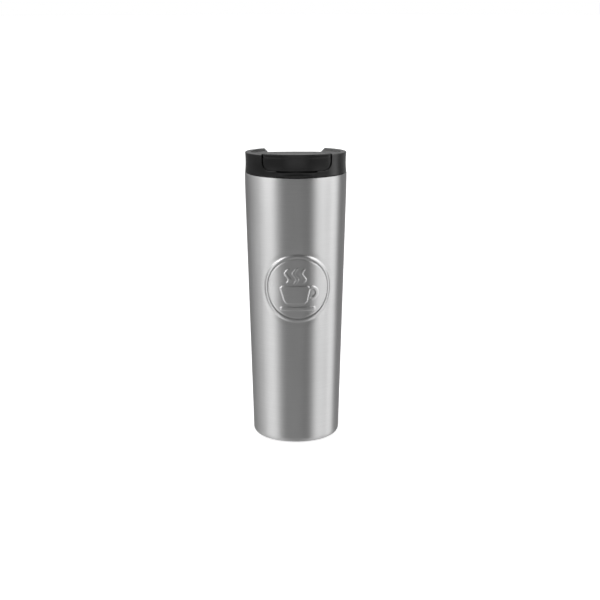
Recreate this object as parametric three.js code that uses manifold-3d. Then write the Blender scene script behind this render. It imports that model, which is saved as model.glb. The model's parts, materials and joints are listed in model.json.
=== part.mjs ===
// Insulated travel mug: a tapered double-walled steel body and a black screw lid with a flip lever.
// Millimetres, +Z up. The origin is the centre of the foot, and the drinking side faces -Y.
import * as THREE from "three";
import { mergeVertices } from "three/addons/utils/BufferGeometryUtils.js";
import Module from "manifold-3d";

const wasm = await Module();
wasm.setup();

// ---------------------------------------------------------------- driving dimensions
const SEGMENTS = 60; // facets round every turned part
const BIG = 60; // half size of the blocks that trim other solids

// Steel body
const RIM_R = 36.5; // outer radius at the rim
const RIM_Z = 194.4; // height of the steel rim
const FOOT_R = 31.45; // outer radius just above the rounded foot
const FOOT_FILLET = 4.3; // radius of the rounded foot
const RIM_EASE = 17.3; // height under the rim over which the taper eases to upright
const SHELL_T = 0.5; // sheet of the outer shell
const LINER_T = 0.4; // sheet of the liner
const WALL = 4.0; // from the outer face of the shell to the inner face of the liner
const LINER_FLOOR = 9.5; // inner face of the liner's floor
const LINER_CORNER = 7.0; // inner radius where the floor meets the wall
const NECK_R = 33.0; // inner radius of the threaded neck
const NECK_Z = [177.0, 188.5]; // from its foot to its head
const MOUTH_R = 35.1; // inner radius above the sealing shoulder
const SHOULDER_Z = 190.6; // top of the sealing shoulder

// Base of the body
const BASE_RECESS = 1.8; // the base plate sits this far above the foot
const BASE_R = 25.3;
const PORT_R = 3.0; // evacuation port
const BASE_SHEET = 0.5;
const BASE_FLANGE_Z = 3.0; // top of the turned-up flange, and of the foot's sheet beside it
const COVER_R = 20.5;

// Thread between the liner's neck and the lid
const THREAD_STARTS = 2;
const THREAD_LEAD = 12.0;
const THREAD_DEPTH = 1.1;
const THREAD_ROOT = 2.0; // axial width at the root
const THREAD_CREST = 1.2; // axial width at the crest
const THREAD_TURN = 210; // degrees that each start runs
const NECK_THREAD_Z = 180.4; // height of the neck thread's lower end
const LID_THREAD_Z = 180.0; // height of the lid thread's lower end
const THREAD_OFFSET = 2.1; // the lid's ridges lie this far under the neck's

// Lid
const LID_GAP = 0.6; // open line between the steel rim and the collar
const COLLAR_Z = RIM_Z + LID_GAP;
const COLLAR_R = 36.3;
const COLLAR_WAIST = 0.2; // the collar's wall curves in this far at mid height
const COLLAR_BORE = 33.2;
const LIP_Z = 209.2; // height of the collar's lip at the sides
const LIP_TILT = 0.038; // the lip falls towards the back, rise over run
const LIP_INNER_R = 31.9;
const SHELF_DROP = 0.7; // the wings' shelves lie under the lip
const WING_SHEET = 2.2;
const LEVER_Z = 207.7; // height of the lever's top face on the mug's axis
const LEVER_TILT = 0.0905; // the lever's top falls towards the back, rise over run
const CHANNEL_HALF = 21.85; // half width of the channel between the wings, at LEVER_Z
const CHANNEL_FLARE = 1 / 1.15; // the channel widens upwards, run over rise
const WINDOW_HALF = 24.5; // half width of the collar's front window
const WINDOW_SILL = 199.1;
const WINDOW_CORNER = 5.5;
const NOTCH_HALF = 12.5; // finger notch under the lever's skirt
const NOTCH_Z = 196.7;
const NOTCH_R = 34.0; // radius of the notch's back wall

const BASE_PART_R = 32.9; // the lid base fits inside the collar
const SKIRT_R = 31.5; // threaded skirt, outside
const SKIRT_INNER_R = 29.6;
const SKIRT_FOOT_Z = 178.4;
const TOP_PLATE_Z = [197.0, 199.0];
const SEAL_LIP_Z = [189.9, 190.5];
const SEAL_LIP_R = 33.6;
const DECK_DROP = 3.4; // the deck lies this far under the lever's top face
const DECK_SHEET = 2.0;
const SIP_HALF_X = 8.0;
const SIP_HALF_Y = 3.2;
const SIP_Y = -24.4;
const VENT_Y = 4.0;
const VENT_R = 1.4;
const DUCT_SHEET = 1.7;
const DUCT_FOOT_Z = 180.9;
const POST_X = [16.0, 17.8]; // two posts close the pin's slots from below
const POST_HALF_Y = 1.1;

const LEVER_R = 36.2; // outer face of the lever's skirt
const LEVER_INNER_R = 33.8;
const LEVER_SHEET = 2.6;
const LEVER_SIDE_GAP = 0.5;
const SKIRT_GAP = 0.9; // between the lever's skirt and the window's sides
const LEVER_SKIRT_Z = 199.55;
const HINGE_Y = 17.0;
const HINGE_Z = 203.0;
const BARREL_R = 3.2;
const BARREL_HALF = 14.8; // half width of the lever's tongue
const CHEEK_X = 15.3; // inner face of the hinge cheeks
const CHEEK_FRONT = 3.8; // the cheeks reach this far in front of the hinge line
const SWEEP_R = 5.6; // the lever keeps outside this radius where the cheeks are
const BRIDGE_Y = 21.5; // front edge of the collar's rear bridge
const PIN_R = 1.2;
const PIN_HALF = 18.2;
const PIN_PLAY = 0.2;
const BOSS_HALF = [5.0, 1.2]; // the boss that carries the sip stopper
const BOSS_Z = LEVER_Z - 4.5;

// Silicone stoppers
const SIP_FLANGE = 1.3; // the flange reaches this far past the sip opening
const SIP_PLUG_Z = LEVER_Z - 5.7;
const VENT_FLANGE = 1.0;
const VENT_PLUG_Z = LEVER_Z - 5.6;
const FLANGE_SPACE = [0.12, 0.15]; // under the lever's plate, and over the deck

const GAP = 0.3; // between pieces that touch

// ---------------------------------------------------------------- solids from three.js geometry
function solid(geometry) {
  const bare = geometry.index ? geometry.toNonIndexed() : geometry.clone();
  bare.deleteAttribute("normal");
  bare.deleteAttribute("uv");
  const merged = mergeVertices(bare, 1e-4);
  const kept = [];
  const index = merged.index.array;
  for (let i = 0; i < index.length; i += 3) {
    const [a, b, c] = [index[i], index[i + 1], index[i + 2]];
    if (a !== b && b !== c && c !== a) kept.push(a, b, c);
  }
  return new wasm.Manifold(
    new wasm.Mesh({
      numProp: 3,
      vertProperties: new Float32Array(merged.attributes.position.array),
      triVerts: new Uint32Array(kept),
    }),
  );
}

// A turned solid from a closed list of [radius, height], counter-clockwise with radius to the right.
function turned(profile, segments = SEGMENTS) {
  const points = profile.map(([r, z]) => new THREE.Vector2(r, z));
  points.push(points[0].clone());
  const geometry = new THREE.LatheGeometry(points, segments);
  return solid(geometry.rotateX(Math.PI / 2));
}

function disc(radius, z0, z1, x = 0, y = 0, segments = SEGMENTS) {
  const geometry = new THREE.CylinderGeometry(radius, radius, z1 - z0, segments);
  geometry.rotateX(Math.PI / 2);
  return solid(geometry.translate(x, y, (z0 + z1) / 2));
}

function ring(inner, outer, z0, z1) {
  return disc(outer, z0, z1).subtract(disc(inner, z0 - 1, z1 + 1));
}

function block(x0, x1, y0, y1, z0, z1) {
  const geometry = new THREE.BoxGeometry(x1 - x0, y1 - y0, z1 - z0);
  return solid(geometry.translate((x0 + x1) / 2, (y0 + y1) / 2, (z0 + z1) / 2));
}

// A rod along X, centred on the mug's middle plane.
function rod(radius, half, y, z, segments = 24) {
  const geometry = new THREE.CylinderGeometry(radius, radius, 2 * half, segments);
  return solid(geometry.rotateZ(Math.PI / 2).translate(0, y, z));
}

// Everything above a plane that passes z on the axis and falls towards +Y by tilt.
function above(z, tilt) {
  const geometry = new THREE.BoxGeometry(2 * BIG, 2 * BIG, BIG);
  geometry.translate(0, 0, BIG / 2).rotateX(-Math.atan(tilt));
  return solid(geometry.translate(0, 0, z));
}

// An outline in X and Z, extruded along Y.
function alongY(shape, y0, y1, curveSegments = 6) {
  const geometry = new THREE.ExtrudeGeometry(shape, {
    depth: y1 - y0,
    bevelEnabled: false,
    curveSegments,
  });
  return solid(geometry.rotateX(Math.PI / 2).translate(0, y1, 0));
}

// An outline in X and Y with round ends, extruded along Z.
function slot(halfX, halfY, y, z0, z1) {
  const straight = halfX - halfY;
  const shape = new THREE.Shape();
  shape.absarc(straight, y, halfY, -Math.PI / 2, Math.PI / 2);
  shape.absarc(-straight, y, halfY, Math.PI / 2, (3 * Math.PI) / 2);
  const geometry = new THREE.ExtrudeGeometry(shape, {
    depth: z1 - z0,
    bevelEnabled: false,
    curveSegments: 8,
  });
  return solid(geometry.translate(0, 0, z0));
}

// The space between the wings: flat sides that flare upwards, drawn in by inset.
function channel(inset) {
  const low = LEVER_Z - 12;
  const high = LEVER_Z + 8;
  const half = (z) => CHANNEL_HALF + (z - LEVER_Z) * CHANNEL_FLARE - inset;
  const shape = new THREE.Shape();
  shape.moveTo(-half(low), low);
  shape.lineTo(half(low), low);
  shape.lineTo(half(high), high);
  shape.lineTo(-half(high), high);
  return alongY(shape, -BIG, BIG);
}

// The front window's outline, round at its lower corners, drawn in by inset, above sill.
function frontWindow(inset, sill) {
  const half = WINDOW_HALF - inset;
  const corner = WINDOW_CORNER - inset / 2;
  const top = LEVER_Z + 10;
  const shape = new THREE.Shape();
  shape.moveTo(half, top);
  shape.lineTo(-half, top);
  shape.lineTo(-half, sill + corner);
  shape.absarc(-half + corner, sill + corner, corner, Math.PI, 1.5 * Math.PI);
  shape.absarc(half - corner, sill + corner, corner, 1.5 * Math.PI, 2 * Math.PI);
  return alongY(shape, -BIG, -10);
}

// One thread ridge: a straight extrusion of its section, wound into a helix. Its ends sink into the wall.
function ridge(wallR, direction, startZ, startDegrees) {
  const sunk = 0.2;
  const runOut = 0.06; // share of the length over which each end sinks
  const shape = new THREE.Shape();
  shape.moveTo(-sunk, -THREAD_ROOT / 2);
  shape.lineTo(THREAD_DEPTH, -THREAD_CREST / 2);
  shape.lineTo(THREAD_DEPTH, THREAD_CREST / 2);
  shape.lineTo(-sunk, THREAD_ROOT / 2);
  const steps = Math.round((THREAD_TURN / 360) * SEGMENTS);
  const geometry = new THREE.ExtrudeGeometry(shape, { depth: 1, steps, bevelEnabled: false });
  const position = geometry.getAttribute("position");
  for (let i = 0; i < position.count; i++) {
    const share = position.getZ(i);
    const ends = Math.min(1, share / runOut, (1 - share) / runOut);
    const height = position.getX(i) > 0 ? -0.1 + (position.getX(i) + 0.1) * ends : -sunk;
    const radius = wallR + direction * height;
    const angle = THREE.MathUtils.degToRad(startDegrees + share * THREAD_TURN);
    const z = startZ + (share * THREAD_TURN * THREAD_LEAD) / 360 + position.getY(i);
    position.setXYZ(i, radius * Math.cos(angle), radius * Math.sin(angle), z);
  }
  // Winding the section turns it inside out when it points away from the axis.
  return solid(direction > 0 ? flipped(geometry) : geometry);
}

function flipped(geometry) {
  const position = geometry.getAttribute("position");
  for (let i = 0; i < position.count; i += 3) {
    const [x, y, z] = [position.getX(i), position.getY(i), position.getZ(i)];
    position.setXYZ(i, position.getX(i + 1), position.getY(i + 1), position.getZ(i + 1));
    position.setXYZ(i + 1, x, y, z);
  }
  return geometry;
}

// Every start of a thread on a wall that faces the axis (direction -1) or faces away from it (+1).
function thread(wallR, direction, startZ, startDegrees) {
  const starts = [...Array(THREAD_STARTS).keys()].map((i) =>
    ridge(wallR, direction, startZ, startDegrees + (i * 360) / THREAD_STARTS),
  );
  return starts.reduce((all, next) => all.add(next));
}

// ---------------------------------------------------------------- profiles
// Outer radius of the body at a height above the foot.
function wallRadius(z) {
  const taper = (RIM_R - FOOT_R) / (RIM_Z - FOOT_FILLET - RIM_EASE / 2);
  const easeFrom = RIM_Z - RIM_EASE;
  if (z <= easeFrom) return FOOT_R + taper * (z - FOOT_FILLET);
  const share = (z - easeFrom) / RIM_EASE;
  return FOOT_R + taper * (easeFrom - FOOT_FILLET + RIM_EASE * (share - (share * share) / 2));
}

// Points of a quarter arc about [r, z], from one angle to another in degrees.
function arc(r, z, radius, from, to, steps) {
  const points = [];
  for (let i = 0; i <= steps; i++) {
    const a = THREE.MathUtils.degToRad(from + ((to - from) * i) / steps);
    points.push([r + radius * Math.cos(a), z + radius * Math.sin(a)]);
  }
  return points;
}

// ---------------------------------------------------------------- steel body
function outerShell() {
  const footCentre = FOOT_R - FOOT_FILLET;
  const turnIn = BASE_R + GAP; // the foot's sheet turns in, then up beside the base plate
  const outside = [
    ...arc(footCentre, FOOT_FILLET, FOOT_FILLET, -90, 0, 6),
    ...[RIM_Z - RIM_EASE, RIM_Z - RIM_EASE / 2, RIM_Z].map((z) => [wallRadius(z), z]),
  ];
  const inside = [
    ...[RIM_Z, RIM_Z - RIM_EASE / 2, RIM_Z - RIM_EASE].map((z) => [wallRadius(z) - SHELL_T, z]),
    ...arc(footCentre, FOOT_FILLET, FOOT_FILLET - SHELL_T, 0, -90, 6),
    [turnIn + SHELL_T, SHELL_T],
    [turnIn + SHELL_T, BASE_FLANGE_Z],
    [turnIn, BASE_FLANGE_Z],
    [turnIn, 0],
  ];
  return turned([...outside, ...inside]);
}

function innerLiner() {
  const bodyTop = NECK_Z[0] - 2;
  const cornerZ = LINER_FLOOR + LINER_CORNER;
  const cornerR = wallRadius(cornerZ) - WALL - LINER_CORNER;
  const inner = [
    [NECK_R, NECK_Z[0]],
    [NECK_R, NECK_Z[1]],
    [MOUTH_R, SHOULDER_Z],
    [MOUTH_R, RIM_Z],
  ];
  const lipOuter = RIM_R - SHELL_T - 0.2; // the rolled lip meets the shell here
  const profile = [
    [0, LINER_FLOOR - LINER_T],
    ...arc(cornerR, cornerZ, LINER_CORNER + LINER_T, -90, 0, 5),
    [wallRadius(bodyTop) - WALL + LINER_T, bodyTop],
    [NECK_R + LINER_T, NECK_Z[0]],
    [NECK_R + LINER_T, NECK_Z[1]],
    [MOUTH_R + LINER_T, SHOULDER_Z],
    [MOUTH_R + LINER_T, RIM_Z - 0.8],
    [lipOuter, RIM_Z - 0.8],
    [lipOuter, RIM_Z],
    ...inner.reverse(),
    [wallRadius(bodyTop) - WALL, bodyTop],
    ...arc(cornerR, cornerZ, LINER_CORNER, 0, -90, 5),
    [0, LINER_FLOOR],
  ];
  return turned(profile).add(thread(NECK_R, -1, NECK_THREAD_Z, 0));
}

function radiationFoil() {
  const [low, high] = [22, 170];
  const thickness = 0.2;
  const offset = WALL - LINER_T - 0.7; // stands off the liner
  return turned([
    [wallRadius(low) - offset, low],
    [wallRadius(low) - offset + thickness, low],
    [wallRadius(high) - offset + thickness, high],
    [wallRadius(high) - offset, high],
  ]);
}

function outerBase() {
  const plateTop = BASE_RECESS + BASE_SHEET;
  return turned([
    [PORT_R, BASE_RECESS],
    [BASE_R, BASE_RECESS],
    [BASE_R, BASE_FLANGE_Z],
    [BASE_R - BASE_SHEET, BASE_FLANGE_Z],
    [BASE_R - BASE_SHEET, plateTop],
    [PORT_R, plateTop],
  ]);
}

function baseCover() {
  const top = BASE_RECESS - 0.1;
  const faceZ = 1.3;
  const rimZ = 1.0;
  return turned([
    [0, faceZ],
    [COVER_R - 1.5, faceZ],
    [COVER_R - 0.5, rimZ],
    [COVER_R, rimZ],
    [COVER_R, top],
    [0, top],
  ]);
}

function sealBead() {
  const beadR = PORT_R - GAP;
  return turned([
    [0, BASE_RECESS],
    [beadR, BASE_RECESS],
    [beadR, BASE_RECESS + BASE_SHEET],
    [beadR - 1, BASE_RECESS + 1.1],
    [0, BASE_RECESS + 1.4],
  ], 24);
}

const GETTER = { x: 13, radius: 5, z0: 2.6, z1: 5.2 };

function getter() {
  return disc(GETTER.radius, GETTER.z0, GETTER.z1, GETTER.x, 0, 24);
}

// A thin strap over the getter, with a foot on the base plate at each end.
function getterStrap() {
  const sheet = 0.3;
  const halfWidth = 1.5;
  const reach = GETTER.radius + GAP;
  const foot = 2.0;
  const floor = BASE_RECESS + BASE_SHEET + 0.1;
  const roof = GETTER.z1 + GAP;
  const shape = new THREE.Shape();
  const outline = [
    [-reach - foot, floor],
    [-reach, floor],
    [-reach, roof],
    [reach, roof],
    [reach, floor],
    [reach + foot, floor],
    [reach + foot, floor + sheet],
    [reach + sheet, floor + sheet],
    [reach + sheet, roof + sheet],
    [-reach - sheet, roof + sheet],
    [-reach - sheet, floor + sheet],
    [-reach - foot, floor + sheet],
  ];
  outline.forEach(([x, z], i) => (i ? shape.lineTo(x, z) : shape.moveTo(x, z)));
  return alongY(shape, -halfWidth, halfWidth).translate([GETTER.x, 0, 0]);
}

// ---------------------------------------------------------------- lid
function collarRing() {
  const high = LIP_Z + 4;
  const mid = (COLLAR_Z + LIP_Z) / 2;
  const quarter = (LIP_Z - COLLAR_Z) / 4;
  const waist = (share) => COLLAR_R - COLLAR_WAIST * share;
  return turned([
    [COLLAR_BORE, COLLAR_Z],
    [waist(0), COLLAR_Z],
    [waist(0.75), mid - quarter],
    [waist(1), mid],
    [waist(0.75), mid + quarter],
    [waist(0), LIP_Z],
    [waist(0), high],
    [COLLAR_BORE, high],
  ]);
}

// The two crescents beside the channel: a shelf, a flared inner wall, and a hollow underneath.
function wings() {
  const floor = TOP_PLATE_Z[1] + 0.5;
  const high = LIP_Z + 4;
  const crescents = disc(COLLAR_BORE + 0.2, floor, high).subtract(channel(0));
  const shelfUnderside = LIP_Z - SHELF_DROP - WING_SHEET;
  const hollow = disc(COLLAR_BORE - WING_SHEET, floor - 1, high)
    .subtract(channel(-WING_SHEET))
    .subtract(above(shelfUnderside, LIP_TILT));
  return crescents.subtract(hollow);
}

// The fixed rear of the channel, level with the lever's top, and the two cheeks that hold the hinge pin.
function rearBridge() {
  const sheet = 2.4;
  const bridge = disc(COLLAR_BORE + 0.2, LEVER_Z - 9, LEVER_Z + 4)
    .intersect(channel(-0.5))
    .intersect(block(-BIG, BIG, BRIDGE_Y, BIG, LEVER_Z - 9, LEVER_Z + 4))
    .subtract(above(LEVER_Z, LEVER_TILT));
  const underside = above(LEVER_Z - sheet, LEVER_TILT);
  const cheekFoot = TOP_PLATE_Z[1] + 0.5;
  const cheek = block(CHEEK_X, BIG, HINGE_Y - CHEEK_FRONT, BRIDGE_Y + 1, cheekFoot, LEVER_Z);
  const cheeks = cheek
    .add(cheek.mirror([1, 0, 0]))
    .intersect(channel(-0.5))
    .subtract(above(LEVER_Z, LEVER_TILT));
  return bridge.intersect(underside).add(cheeks);
}

function pinSlots() {
  const reach = PIN_HALF + GAP;
  const r = PIN_R + PIN_PLAY;
  const below = TOP_PLATE_Z[1] - 1;
  return rod(r, reach, HINGE_Y, HINGE_Z).add(
    block(-reach, reach, HINGE_Y - r, HINGE_Y + r, below, HINGE_Z),
  );
}

function lidCollar() {
  const notch = block(-NOTCH_HALF, NOTCH_HALF, -BIG, 0, NOTCH_Z, WINDOW_SILL + 1).subtract(
    disc(NOTCH_R, 0, 2 * LIP_Z),
  );
  const windowSpace = frontWindow(0, WINDOW_SILL).subtract(disc(COLLAR_BORE - 0.2, 0, 2 * LIP_Z));
  const overLever = channel(0).intersect(above(LEVER_Z, LEVER_TILT));
  const overShelf = above(LIP_Z - SHELF_DROP, LIP_TILT);
  const shelfSpace = disc(LIP_INNER_R, LIP_Z - 5, LIP_Z + 9).intersect(overShelf);
  return collarRing()
    .add(wings())
    .add(rearBridge())
    .subtract(overLever)
    .subtract(above(LIP_Z, LIP_TILT))
    .subtract(shelfSpace)
    .subtract(windowSpace)
    .subtract(notch)
    .subtract(pinSlots());
}

function lidBase() {
  const chamfer = 0.5;
  const cup = turned([
    [SKIRT_INNER_R, SKIRT_FOOT_Z],
    [SKIRT_R - chamfer, SKIRT_FOOT_Z],
    [SKIRT_R, SKIRT_FOOT_Z + chamfer],
    [SKIRT_R, SEAL_LIP_Z[0] - chamfer],
    [SEAL_LIP_R, SEAL_LIP_Z[0]],
    [SEAL_LIP_R, SEAL_LIP_Z[1]],
    [BASE_PART_R, SEAL_LIP_Z[1]],
    [BASE_PART_R, TOP_PLATE_Z[1]],
    [0, TOP_PLATE_Z[1]],
    [0, TOP_PLATE_Z[0]],
    [SKIRT_INNER_R, TOP_PLATE_Z[0]],
  ]);
  const side = 0.45;
  const deckEnd = HINGE_Y - BARREL_R - 1.0;
  const deckZ = LEVER_Z - DECK_DROP;
  const raised = disc(BASE_PART_R, TOP_PLATE_Z[0] + 0.5, LEVER_Z + 3)
    .intersect(channel(side))
    .intersect(block(-BIG, BIG, -BIG, deckEnd, 0, 2 * LIP_Z))
    .subtract(above(deckZ, LEVER_TILT));
  const hollow = disc(SKIRT_INNER_R, TOP_PLATE_Z[0] - 1, LEVER_Z + 3)
    .intersect(channel(side + DECK_SHEET))
    .intersect(block(-BIG, BIG, -BIG, deckEnd - DECK_SHEET, 0, 2 * LIP_Z))
    .subtract(above(deckZ - DECK_SHEET, LEVER_TILT));
  const sipDuct = slot(SIP_HALF_X + DUCT_SHEET, SIP_HALF_Y + DUCT_SHEET, SIP_Y, DUCT_FOOT_Z, LEVER_Z)
    .intersect(disc(BASE_PART_R - 1, 0, 2 * LIP_Z))
    .intersect(disc(SKIRT_INNER_R + 0.5, 0, TOP_PLATE_Z[0]).add(disc(BIG, TOP_PLATE_Z[0], 2 * LIP_Z)))
    .subtract(above(deckZ - 1, LEVER_TILT));
  const ventDuct = disc(VENT_R + DUCT_SHEET, DUCT_FOOT_Z, LEVER_Z, 0, VENT_Y, 20).subtract(
    above(deckZ - 1, LEVER_TILT),
  );
  const bores = slot(SIP_HALF_X, SIP_HALF_Y, SIP_Y, 0, 2 * LIP_Z).add(
    disc(VENT_R, 0, 2 * LIP_Z, 0, VENT_Y, 20),
  );
  const postFoot = TOP_PLATE_Z[0] + 0.5;
  const postTop = HINGE_Z - PIN_R - PIN_PLAY;
  const post = block(...POST_X, HINGE_Y - POST_HALF_Y, HINGE_Y + POST_HALF_Y, postFoot, postTop);
  const drop = NECK_THREAD_Z - LID_THREAD_Z;
  const threadAngle = ((THREAD_OFFSET - drop) / THREAD_LEAD) * 360;
  return cup
    .add(raised)
    .subtract(hollow)
    .add(sipDuct)
    .add(ventDuct)
    .subtract(bores)
    .add(post)
    .add(post.mirror([1, 0, 0]))
    .add(thread(SKIRT_R, 1, LID_THREAD_Z, threadAngle));
}

// The plate that closes the skirt from below and keeps an air space in the lid.
function lidInsert() {
  const z0 = SKIRT_FOOT_Z + 0.2;
  const z1 = DUCT_FOOT_Z - GAP;
  return disc(SKIRT_INNER_R - GAP, z0, z1)
    .subtract(slot(SIP_HALF_X, SIP_HALF_Y, SIP_Y, z0 - 1, z1 + 1))
    .subtract(disc(VENT_R, z0 - 1, z1 + 1, 0, VENT_Y, 20));
}

function lidGasket() {
  const inner = BASE_PART_R + 0.2;
  const low = SEAL_LIP_Z[1] + 0.2;
  const high = COLLAR_Z - 0.4;
  const core = 34.1;
  const fin = 34.8;
  const finStep = (high - low) / 5;
  return turned([
    [inner, low],
    [core, low],
    [fin, low + finStep],
    [core, low + 2 * finStep],
    [core, low + 2.6 * finStep],
    [fin, low + 3.6 * finStep],
    [core, low + 4.6 * finStep],
    [core, high],
    [inner, high],
  ]);
}

// ---------------------------------------------------------------- lever
function flipLever() {
  const overTop = above(LEVER_Z, LEVER_TILT);
  const plate = disc(LEVER_R, LEVER_Z - 9, LEVER_Z + 6)
    .intersect(channel(LEVER_SIDE_GAP))
    .intersect(block(-BIG, BIG, -BIG, HINGE_Y, 0, 2 * LIP_Z))
    .intersect(above(LEVER_Z - LEVER_SHEET, LEVER_TILT))
    .subtract(overTop);
  const skirt = ring(LEVER_INNER_R, LEVER_R, LEVER_SKIRT_Z - 1, LEVER_Z + 6)
    .intersect(frontWindow(SKIRT_GAP, LEVER_SKIRT_Z))
    .subtract(overTop);
  const besideTongue = block(BARREL_HALF, BIG, -BIG, BIG, 0, 2 * LIP_Z);
  const sweep = rod(SWEEP_R, BIG, HINGE_Y, HINGE_Z, 36);
  const clearance = sweep.intersect(besideTongue.add(besideTongue.mirror([1, 0, 0])));
  const barrel = rod(BARREL_R, BARREL_HALF, HINGE_Y, HINGE_Z, 32);
  const boss = slot(...BOSS_HALF, SIP_Y, BOSS_Z, LEVER_Z).subtract(overTop);
  return plate
    .add(skirt)
    .subtract(clearance)
    .add(barrel)
    .add(boss)
    .subtract(rod(PIN_R + PIN_PLAY, BIG, HINGE_Y, HINGE_Z));
}

// A stopper's flange lies between the lever's plate and the deck.
function flangeSpace() {
  const [underPlate, overDeck] = FLANGE_SPACE;
  return above(LEVER_Z - DECK_DROP + overDeck, LEVER_TILT).subtract(
    above(LEVER_Z - LEVER_SHEET - underPlate, LEVER_TILT),
  );
}

// Held on the lever's boss, with a plug in the sip opening.
function sipStopper() {
  const [halfX, halfY] = [SIP_HALF_X + SIP_FLANGE, SIP_HALF_Y + SIP_FLANGE];
  const underPlate = above(LEVER_Z - LEVER_SHEET - FLANGE_SPACE[0], LEVER_TILT);
  const flange = slot(halfX, halfY, SIP_Y, LEVER_Z - 9, LEVER_Z + 3).intersect(flangeSpace());
  const plug = slot(SIP_HALF_X - GAP, SIP_HALF_Y - GAP, SIP_Y, SIP_PLUG_Z, LEVER_Z + 3);
  const [socketX, socketY] = [BOSS_HALF[0] + GAP, BOSS_HALF[1] + GAP];
  const socket = slot(socketX, socketY, SIP_Y, BOSS_Z - GAP, LEVER_Z + 4);
  return flange.add(plug.subtract(underPlate)).subtract(socket);
}

function ventStopper() {
  const underPlate = above(LEVER_Z - LEVER_SHEET - FLANGE_SPACE[0], LEVER_TILT);
  const flangeR = VENT_R + VENT_FLANGE;
  const flange = disc(flangeR, LEVER_Z - 9, LEVER_Z + 3, 0, VENT_Y, 20).intersect(flangeSpace());
  const plug = disc(VENT_R - GAP, VENT_PLUG_Z, LEVER_Z + 3, 0, VENT_Y, 20).subtract(underPlate);
  return flange.add(plug);
}

function hingePin() {
  return rod(PIN_R, PIN_HALF, HINGE_Y, HINGE_Z);
}

// ---------------------------------------------------------------- scene graph
const steel = new THREE.MeshStandardMaterial({ color: 0xb4b5b4, roughness: 0.3, metalness: 1 });
const polishedSteel = new THREE.MeshStandardMaterial({ color: 0xc2c3c2, roughness: 0.18, metalness: 1 });
const foil = new THREE.MeshStandardMaterial({ color: 0xc9cacb, roughness: 0.25, metalness: 1 });
const solder = new THREE.MeshStandardMaterial({ color: 0x5b5e60, roughness: 0.3, metalness: 0 });
const sinter = new THREE.MeshStandardMaterial({ color: 0x6d6a66, roughness: 0.8, metalness: 0.4 });
const blackPlastic = new THREE.MeshStandardMaterial({ color: 0x2b2b2b, roughness: 0.45, metalness: 0 });
const silicone = new THREE.MeshStandardMaterial({ color: 0x1d1d1e, roughness: 0.7, metalness: 0 });

function piece(name, made, material) {
  const mesh = made.getMesh();
  const geometry = new THREE.BufferGeometry();
  geometry.setAttribute("position", new THREE.BufferAttribute(mesh.vertProperties, 3));
  geometry.setIndex(new THREE.BufferAttribute(mesh.triVerts, 1));
  const node = new THREE.Mesh(geometry, material);
  node.name = name;
  return node;
}

const body = new THREE.Group();
body.add(
  piece("outer_shell", outerShell(), steel),
  piece("inner_liner", innerLiner(), polishedSteel),
  piece("radiation_foil", radiationFoil(), foil),
  piece("outer_base", outerBase(), polishedSteel),
  piece("base_cover", baseCover(), steel),
  piece("seal_bead", sealBead(), solder),
  piece("getter", getter(), sinter),
  piece("getter_strap", getterStrap(), polishedSteel),
);

const lever = new THREE.Group();
lever.add(
  piece("flip_lever", flipLever(), blackPlastic),
  piece("sip_stopper", sipStopper(), silicone),
  piece("vent_stopper", ventStopper(), silicone),
);

const lid = new THREE.Group();
lid.add(
  piece("lid_collar", lidCollar(), blackPlastic),
  piece("lid_base", lidBase(), blackPlastic),
  piece("lid_insert", lidInsert(), blackPlastic),
  piece("lid_gasket", lidGasket(), silicone),
  piece("hinge_pin", hingePin(), polishedSteel),
  lever,
);

const mug = new THREE.Group();
mug.add(body, lid);

export default mug;
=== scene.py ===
# Insulated travel mug: fine meshes, materials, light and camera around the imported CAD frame.
# Shapes are made in millimetres and turned into metres by finish_piece(). The mug's axis is Z, and its front
# faces -Y.
import json
import math

import bmesh
import bpy
from mathutils import Matrix, Vector


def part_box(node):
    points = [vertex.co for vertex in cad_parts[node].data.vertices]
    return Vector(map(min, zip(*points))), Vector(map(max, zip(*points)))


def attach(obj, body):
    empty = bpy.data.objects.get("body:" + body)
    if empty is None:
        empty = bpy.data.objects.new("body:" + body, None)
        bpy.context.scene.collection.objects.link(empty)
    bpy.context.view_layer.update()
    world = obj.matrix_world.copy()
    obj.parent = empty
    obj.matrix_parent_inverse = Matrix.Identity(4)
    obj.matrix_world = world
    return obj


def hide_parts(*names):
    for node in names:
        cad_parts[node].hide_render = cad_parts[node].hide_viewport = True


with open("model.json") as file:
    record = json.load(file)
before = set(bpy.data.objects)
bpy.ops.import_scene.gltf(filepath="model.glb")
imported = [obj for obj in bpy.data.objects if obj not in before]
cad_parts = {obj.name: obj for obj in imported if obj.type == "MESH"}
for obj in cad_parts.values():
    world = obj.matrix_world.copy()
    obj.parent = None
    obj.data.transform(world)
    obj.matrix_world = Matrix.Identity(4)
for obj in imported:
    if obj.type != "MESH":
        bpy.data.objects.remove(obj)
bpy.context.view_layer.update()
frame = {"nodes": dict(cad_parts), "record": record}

MM = 0.001

# ---------------------------------------------------------------- sizes, from the frame where it has them


def cad(node):
    """Lowest and highest corner of a CAD node, in millimetres."""
    low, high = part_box(node)
    return Vector(low) / MM, Vector(high) / MM


def joint_place(name):
    """Place of a hinge of the frame, in millimetres."""
    for joint in frame["record"]["behaviour"]["joints"]:
        if joint["name"] == name:
            return Vector(joint["pos_m"]) / MM
    raise ValueError(name)


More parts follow.
